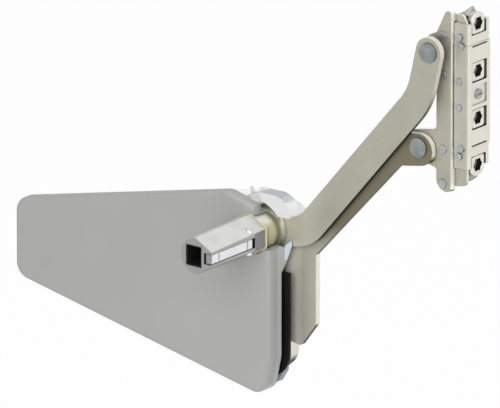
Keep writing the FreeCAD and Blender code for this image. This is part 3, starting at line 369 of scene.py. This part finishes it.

# die cast coupling with a fine blasted skin: lit and shaded copies of one grey, light on the upper facet,
# painted shade on the round side, the end and the flank
castLook = {
    "shade": "#cacac8", "light": "#d6d6d4", "driftSize": 14, "rough": (0.38, 0.48), "edge": 0.5, "metal": 0.3,
    "grainSize": 0.6, "grainDepth": 0.14, "grainTint": 0.06,
    "zones": [
        {"where": [facing((-1, 0, 0.2), 0.3, 0.8)], "colour": "#959593"},
        {"where": [facing((0, -1, 0), 0.9, 0.97)], "colour": "#999997"},
        {"where": [facing((0.55, 0, -0.83), 0.9, 0.97)], "colour": "#9d9d9b"},
        {"where": [facing((1, 0, 0), 0.9, 0.97)], "colour": "#a4a4a2"},
        # the flap side of the rear block darker still
        {"where": [facing((1, 0, 0), 0.9, 0.97), placed("y", -68.2, -68.0)], "colour": "#7c7c7b"},
        # a painted black shadow in the slot behind the latch's end
        {
            "where": [
                placed("x", 12.5, 12.3), placed("x", 6.2, 6.4), placed("y", -67.8, -68.0),
                placed("z", -3.9, -3.7), placed("z", 3.9, 3.7),
            ],
            "colour": "#101112",
        },
    ],
}
castSilver = surface("blastedDieCastZinc", castLook)

# polished latch strip: brighter than the tube it slides in; its end painted grey as shade, with a painted
# black gap along its inner side
latchLook = dict(castLook, shade="#dcdfdf", light="#e6e8e8", rough=(0.25, 0.32), zones=[
    {"where": [facing((0, -1, 0), 0.9, 0.97)], "colour": "#8d9292"},
    {"where": [facing((0, -1, 0), 0.9, 0.97), placed("x", 8.1, 7.9)], "colour": "#131516"},
])
latchSilver = surface("polishedDieCastZinc", latchLook)

# headed and polished studs: bright and nearly white
studSilver = surface("polishedHeadedSteel", dict(latchLook, shade="#eceeee", light="#f2f3f3", zones=[]))

# die cast cam painted nearly white as a painted highlight, so its edge beside the shroud is lost against a
# white ground
camLook = dict(latchLook, shade="#f3f4f4", light="#fafafa", zones=[], metal=0.1)
camCast = surface("dieCastZincCamPaintedWhiteHighlight", camLook)

# cast foot: bluish and darker, with a fine skin
footLook = dict(castLook, shade="#7f8a93", light="#98a2aa", zones=[], crevice=2.0)
footCast = surface("blastedDieCastZincFoot", footLook)

# tumbled die cast plugs: cream white faces with soft edges
plugLook = {
    "shade": "#d6d3c8", "light": "#e2dfd5", "driftSize": 6, "grainSize": 0.5, "grainDepth": 0.12,
    "rough": (0.35, 0.45), "edge": 0.4, "metal": 0.3, "crevice": 1.5,
}
plugCast = surface("tumbledDieCastZincPlug", plugLook)

# die cast slide inside the channel: its flank is in deep shade, its cap is grey
slideLook = dict(nickelLook, shade="#8d8a7d", light="#9b988b", metal=0.5, cutBurnishAndHighlight="#a5a297", zones=[
    {"where": [facing((0, -1, 0), 0.8, 0.9)], "colour": "#161614"},
])
slideCast = surface("dieCastZincSlide", slideLook)
capCast = surface("dieCastZincSlideCap", dict(slideLook, shade="#a3a093", light="#aeab9e", zones=[]))

# moulded bearing plastic: nearly black and dull; the same near black is painted shade inside the plugs'
# drives and the bar socket
bushLook = dict(blackLook, shade="#17191a", light="#202223", zones=[])
nearBlackBushAndShade = surface("mouldedBearingAcetalAndPaintedShade", bushLook)

dress(satinGreyPlastic, "cover")
dress(silverPlastic, "hub_guard")
dress(coolPlastic, "hub_clip")
dress(leverNickel, "upper_lever")
dress(plateNickel, "link_plate")
dress(drawnNickel, "lever_neck")
dress(secondNickel, "lower_lever")
dress(channelNickel, "carrier_channel")
dress(railNickel, "front_rail")
dress(brightSteel, "lower_pivot_pin", "lift_pin", "tie_pin", "lift_sleeve", "lower_washer")
dress(brightSteel, "guide_rods", "roller_pin", "cam_roller")
dress(rivetSteel, "link_rivets", "rail_rivets", "spacer_rivets", "centre_screw", "tension_screw")
dress(zincSheet, "base_tray", "mid_plate")
dress(blackCoat, "side_plate")
dress(shadedBrownShaft, "lift_shaft")
dress(groundSteel, "spring_carriage", "spring_anchor")
dress(camCast, "lift_cam")
dress(castSilver, "bar_coupling")
dress(latchSilver, "bar_latch")
dress(studSilver, "latch_studs")
dress(footCast, "base_foot")
# the socket liner is a near-black sleeve, painted shade inside the bar socket
dress(nearBlackBushAndShade, "hub_bush", "socket_liner")
print("surfaces assigned")


# Flap plugs: a flat head with a lobed drive, domed on the outer side of the two outer ones

plugSettings = {
    "row": -12.4, "heights": (67.2, 99.2, 131.2, 163.2), "outerSides": (-1, 0, 0, 1),
    "half": 6.4, "squareness": 9, "dome": 7.5, "flank": 0.9, "back": 150.3, "face": 152.2, "chamfer": 0.35,
    "lobe": 4.25, "lobes": 6, "lobeDepth": 0.09, "floor": 145.5, "barrel": 5.0, "end": 142.4,
    "points": 96, "crispAngle": 35,
}


# Distance from the plug's middle to its rim: a rounded square, whose outer side is a dome between two flanks.
def plugReach(settings, outer, angle):
    across, up = abs(math.cos(angle)), math.sin(angle)
    if outer * up <= 0:
        power = settings["squareness"]
        return settings["half"] / (across ** power + abs(up) ** power) ** (1 / power)
    if across > settings["flank"]:
        return settings["half"] / across
    return settings["dome"]


# One plug as rings round its axis, from the floor of the drive over the face to the end of the barrel.
def makePlug(mesh, settings, height, outer):
    count = settings["points"]
    angles = [2 * math.pi * step / count for step in range(count)]
    rim = [plugReach(settings, outer, angle) for angle in angles]
    waves = [1 + settings["lobeDepth"] * math.cos(settings["lobes"] * angle) for angle in angles]
    star = [settings["lobe"] * wave for wave in waves]
    barrel = [settings["barrel"]] * count
    chamfer, face, back = settings["chamfer"], settings["face"], settings["back"]
    loops = [
        (star, 0, settings["floor"]), (star, 0, face - chamfer), (star, chamfer, face),
        (rim, -chamfer, face), (rim, 0, face - chamfer), (rim, 0, back),
        (barrel, 0, back), (barrel, 0, settings["end"]),
    ]
    rings = []
    for reach, grow, x in loops:
        ring = []
        for angle, length in zip(angles, reach):
            y = settings["row"] + (length + grow) * math.cos(angle)
            z = height + (length + grow) * math.sin(angle)
            ring.append(mesh.verts.new([value * mm for value in (x, y, z)]))
        rings.append(ring)
    # the drive's floor and walls take the second material, near black, as painted shade in the drive
    mesh.faces.new(reversed(rings[0])).material_index = 1
    for level, (first, second) in enumerate(zip(rings, rings[1:])):
        for index in range(count):
            after = (index + 1) % count
            side = mesh.faces.new((first[index], first[after], second[after], second[index]))
            side.smooth = True
            side.material_index = 1 if level == 0 else 0
    mesh.faces.new(rings[-1])


def makePlugs():
    mesh = bmesh.new()
    for height, outer in zip(plugSettings["heights"], plugSettings["outerSides"]):
        makePlug(mesh, plugSettings, height, outer)
    plugs = finishPiece("flapPlugs", mesh, plugCast, nearBlackBushAndShade)
    edges = plugs.modifiers.new("crispEdges", "EDGE_SPLIT")
    edges.split_angle = math.radians(plugSettings["crispAngle"])
    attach(plugs, "flap_bracket")
    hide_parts("flap_plugs")


makePlugs()
print("plugs made")


# Pressure springs: copies of the CAD coils in spring wire, fixed to the housing


def makeSprings():
    for word in ("upper", "lower"):
        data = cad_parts[word + "_spring"].data.copy()
        data.materials.clear()
        data.materials.append(springWire)
        spring = addObject(word + "Spring", data)
        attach(spring, "housing")
        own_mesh(spring)
        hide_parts(word + "_spring")


makeSprings()
print("springs made")


# Cast slide inside the channel: a block with a sloping foot, and a low peaked cap at its upper end

slideSettings = {
    "across": (-17.5, -6.5), "deep": (138.6, 148.0), "up": (57.0, 168.2), "chamfer": 0.4,
    "foot": 53.6, "footIn": 4.5,
    "peak": (143.4, -6.9, 172.4), "corner": (143.4, -15.4, 169.4),
    "capSunk": 1.0, "capIn": 0.5, "capStep": 1.0, "capChamfer": 0.25,
}


# A convex piece round the given corners, in mm, with its edges broken.
def hullPiece(name, corners, chamfer, material):
    mesh = bmesh.new()
    for corner in corners:
        mesh.verts.new([value * mm for value in corner])
    bmesh.ops.convex_hull(mesh, input=mesh.verts)
    bmesh.ops.dissolve_limit(mesh, angle_limit=0.01, verts=mesh.verts, edges=mesh.edges)
    bmesh.ops.bevel(
        mesh, geom=mesh.edges[:], offset=chamfer * mm, segments=2, affect="EDGES", clamp_overlap=True,
    )
    return finishPiece(name, mesh, material)


def makeSlide():
    settings = slideSettings
    left, right = settings["across"]
    back, front = settings["deep"]
    low, high = settings["up"]
    corners = [(x, y, z) for x in (back, front) for y in (left, right) for z in (low, high)]
    corners += [(front - settings["footIn"], y, settings["foot"]) for y in (left, right)]
    slide = hullPiece("clampSlide", corners, settings["chamfer"], slideCast)
    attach(slide, "flap_bracket")
    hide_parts("clamp_block")
    deep = (back + settings["capIn"], front - settings["capIn"])
    base = [(x, y, high - settings["capSunk"]) for x in deep for y in (left + settings["capStep"], right)]
    corners = base + [settings["peak"], settings["corner"]]
    cap = hullPiece("clampSlideCap", corners, settings["capChamfer"], capCast)
    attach(cap, "flap_bracket")


makeSlide()
print("slide made")


# Floor, world and lamps

floorSettings = {"height": -0.30, "half": 12.0, "colour": "#f4f4f3", "white": 0.96}
worldSettings = {"colour": "#e9ebee", "strength": 0.45}
lampSettings = [
    {"name": "keyFront", "at": (0.7, -2.2, 0.9), "size": 1.6, "watts": 30},
    {"name": "rightBand", "at": (2.2, -0.3, 0.5), "size": 1.4, "watts": 18},
    {"name": "topSoft", "at": (0.1, 0.2, 2.4), "size": 1.8, "watts": 16},
]
white = (1.0, 1.0, 1.0, 1.0)


# One for the rays that see the backdrop: from the camera, from metal and through glass.
def whiteToCamera(tree):
    seen = 0.0
    for kind in ("Is Camera Ray", "Is Glossy Ray", "Is Transmission Ray"):
        ray = addNode(tree, "ShaderNodeLightPath", kind, {})
        seen = addNode(tree, "ShaderNodeMath", 0, {0: ray, 1: seen}, operation="MAXIMUM")
    return seen


def makeFloor():
    settings = floorSettings
    half = settings["half"]
    mesh = bpy.data.meshes.new("floor")
    corners = [(-half, -half, 0), (half, -half, 0), (half, half, 0), (-half, half, 0)]
    mesh.from_pydata(corners, [], [(0, 1, 2, 3)])
    floor = addObject("floor", mesh)
    floor.location.z = settings["height"]
    material = bpy.data.materials.new("paleStudioPaper")
    material.use_nodes = True
    tree = material.node_tree
    tree.nodes.clear()
    paper = addNode(tree, "ShaderNodeBsdfDiffuse", 0, {"Color": hexColour(settings["colour"])})
    glow = addNode(tree, "ShaderNodeEmission", 0, {"Color": white, "Strength": 1.0})
    share = {0: whiteToCamera(tree), 1: settings["white"]}
    glowing = addNode(tree, "ShaderNodeMath", 0, share, operation="MULTIPLY")
    mix = addNode(tree, "ShaderNodeMixShader", 0, {0: glowing, 1: paper, 2: glow})
    addNode(tree, "ShaderNodeOutputMaterial", None, {"Surface": mix})
    mesh.materials.append(material)


def makeWorld():
    world = bpy.data.worlds.new("studio")
    bpy.context.scene.world = world
    world.use_nodes = True
    tree = world.node_tree
    tree.nodes.clear()
    light = {"Color": hexColour(worldSettings["colour"]), "Strength": worldSettings["strength"]}
    soft = addNode(tree, "ShaderNodeBackground", 0, light)
    seen = addNode(tree, "ShaderNodeBackground", 0, {"Color": white, "Strength": 1.0})
    mix = addNode(tree, "ShaderNodeMixShader", 0, {0: whiteToCamera(tree), 1: soft, 2: seen})
    addNode(tree, "ShaderNodeOutputWorld", None, {"Surface": mix})


# Square soft lamps, all turned to the lift axis.
def makeLamps():
    for lamp in lampSettings:
        data = bpy.data.lights.new(lamp["name"], "AREA")
        data.size = lamp["size"]
        data.energy = lamp["watts"]
        item = addObject(lamp["name"], data)
        item.location = lamp["at"]
        item.rotation_euler = (-item.location).to_track_quat("-Z", "Y").to_euler()


# Camera: a long lens from the inside of the cabinet, turned to the flap side

cameraSettings = {
    "azimuth": 38.0, "elevation": 18.2, "distance": 12.0, "pixelsPerMm": 1.53,
    "originPixel": (304.0, 213.3), "imageSize": (500, 408), "sensor": 36.0, "clipEnd": 60,
}


# The lift axis, at the frame's origin, comes to the origin pixel.
def makeCamera():
    settings = cameraSettings
    turn = math.radians(settings["azimuth"])
    rise = math.radians(settings["elevation"])
    right = Vector((math.cos(turn), math.sin(turn), 0))
    up = Vector((-math.sin(turn) * math.sin(rise), math.cos(turn) * math.sin(rise), math.cos(rise)))
    away = right.cross(up)
    width, height = settings["imageSize"]
    across = (width / 2 - settings["originPixel"][0]) / settings["pixelsPerMm"] * mm
    above = (settings["originPixel"][1] - height / 2) / settings["pixelsPerMm"] * mm
    target = right * across + up * above
    data = bpy.data.cameras.new("camera")
    data.sensor_width = settings["sensor"]
    data.lens = settings["pixelsPerMm"] * settings["distance"] / mm * settings["sensor"] / width
    data.clip_end = settings["clipEnd"]
    camera = addObject("camera", data)
    camera.location = target + away * settings["distance"]
    camera.rotation_euler = (-away).to_track_quat("-Z", "Y").to_euler()
    bpy.context.scene.camera = camera


makeFloor()
makeWorld()
makeLamps()
makeCamera()
bpy.context.scene.view_settings.view_transform = "Standard"
print("stage ready")
